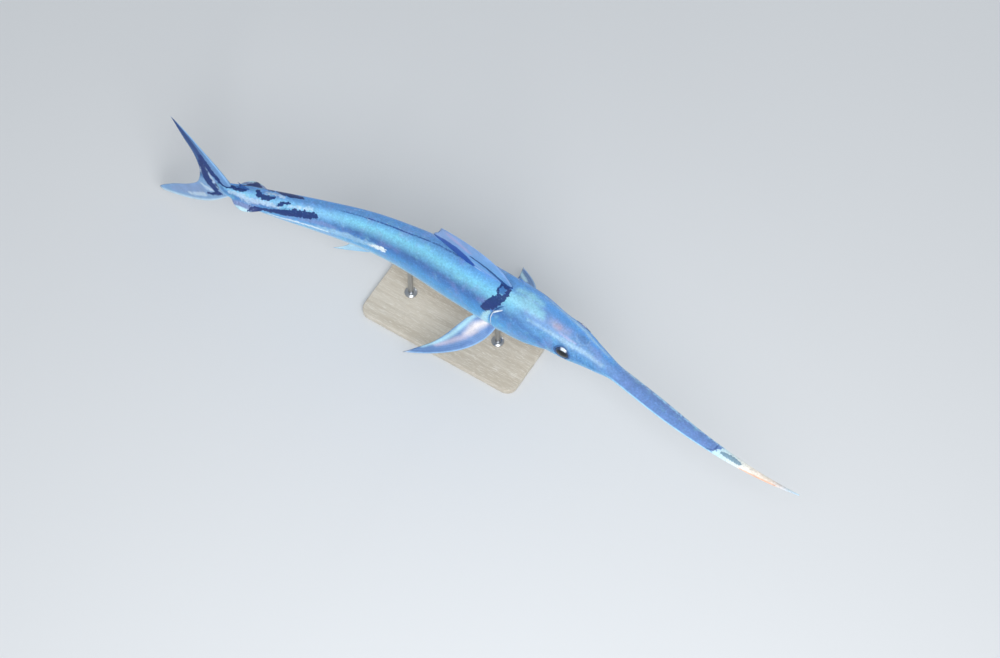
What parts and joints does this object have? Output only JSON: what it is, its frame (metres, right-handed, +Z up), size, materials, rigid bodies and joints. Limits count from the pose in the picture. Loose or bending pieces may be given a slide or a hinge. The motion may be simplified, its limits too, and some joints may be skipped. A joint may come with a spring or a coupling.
{
  "type": "swordfish display model",
  "caption": "Young swordfish with a long flat bill, tall swept back fin and crescent tail, held level on a flat base by short rods.",
  "frame": {"origin": "middle of the underside of the stand's base, on the surface that the model stands on", "axes": "+X along the fish from the tail towards the tip of the bill, +Y to the fish's left, +Z up"},
  "size_m": [1.7285, 0.3551, 0.4465],
  "materials": {
    "skin": "wet fish skin, silvery blue with a bright band along the upper flank, violet blue flank, silver belly, navy blotches",
    "bill": "slate blue bill with pale edges and a cream tip",
    "fin": "thin blue fin membrane over raised rays",
    "eye": "glossy eye, black pupil and silver blue iris",
    "stand": "pale limed oak, satin",
    "rod": "brushed steel"
  },
  "bodies": {
    "root": {"bill": "bill", "head": "skin", "lower_jaw": "skin", "gill_cover_left": "skin", "gill_cover_right": "skin", "eye_left": "eye", "eye_right": "eye", "trunk_front": "skin", "trunk_middle": "skin", "trunk_rear": "skin", "caudal_peduncle": "skin", "keel_left": "skin", "keel_right": "skin", "dorsal_fin_first": "fin", "dorsal_fin_second": "fin", "anal_fin_first": "fin", "anal_fin_second": "fin", "pectoral_fin_left": "fin", "pectoral_fin_right": "fin", "caudal_fin_upper": "fin", "caudal_fin_lower": "fin", "stand_base": "stand", "stand_rod_front": "rod", "stand_rod_rear": "rod"}
  },
  "joints": []
}
